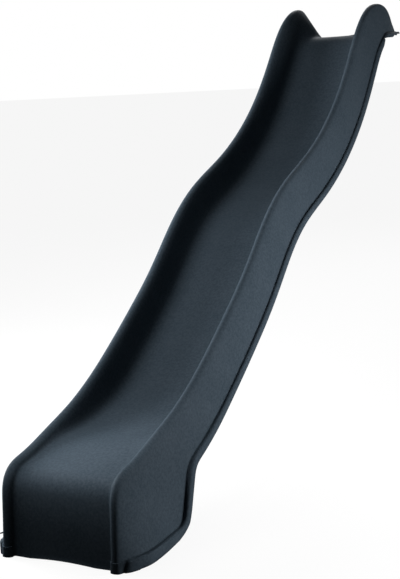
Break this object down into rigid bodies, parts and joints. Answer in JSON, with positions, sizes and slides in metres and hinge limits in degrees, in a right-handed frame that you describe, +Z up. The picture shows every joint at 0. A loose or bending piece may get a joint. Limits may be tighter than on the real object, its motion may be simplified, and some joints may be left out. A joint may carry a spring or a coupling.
{
  "type": "playground wave slide",
  "caption": "Moulded plastic wave slide with a boxed exit foot, rolled trough edges, eared platform lip and its fixing kit",
  "frame": {"origin": "on the ground under the middle of the whole slide, halfway between its left and right sides and halfway along its length", "axes": "+X to the left of a child sliding down, seen from the exit the right hand side; +Y along the slide from the exit foot toward the platform; +Z up"},
  "size_m": [0.5484, 2.6669, 1.6523],
  "materials": {
    "moulded_polyethylene": "anthracite blue-grey satin with a very fine mould grain",
    "cap_nylon": "near-black satin nylon",
    "zinc_plated_steel": "bright zinc plating",
    "brass": "plain turned brass"
  },
  "bodies": {
    "root": {"slide_shell": "moulded_polyethylene", "lip_screw_1": "zinc_plated_steel", "lip_screw_2": "zinc_plated_steel", "lip_screw_3": "zinc_plated_steel", "lip_washer_1": "zinc_plated_steel", "lip_washer_2": "zinc_plated_steel", "lip_washer_3": "zinc_plated_steel", "lip_cap_base_1": "cap_nylon", "lip_cap_base_2": "cap_nylon", "lip_cap_base_3": "cap_nylon", "lip_cap_1": "cap_nylon", "lip_cap_2": "cap_nylon", "lip_cap_3": "cap_nylon", "ground_bracket_left": "zinc_plated_steel", "ground_bracket_right": "zinc_plated_steel", "bracket_bolt_left_1": "zinc_plated_steel", "bracket_bolt_left_2": "zinc_plated_steel", "bracket_bolt_right_1": "zinc_plated_steel", "bracket_bolt_right_2": "zinc_plated_steel", "bracket_washer_left_1": "zinc_plated_steel", "bracket_washer_left_2": "zinc_plated_steel", "bracket_washer_right_1": "zinc_plated_steel", "bracket_washer_right_2": "zinc_plated_steel", "threaded_insert_left_1": "brass", "threaded_insert_left_2": "brass", "threaded_insert_right_1": "brass", "threaded_insert_right_2": "brass"}
  },
  "joints": []
}
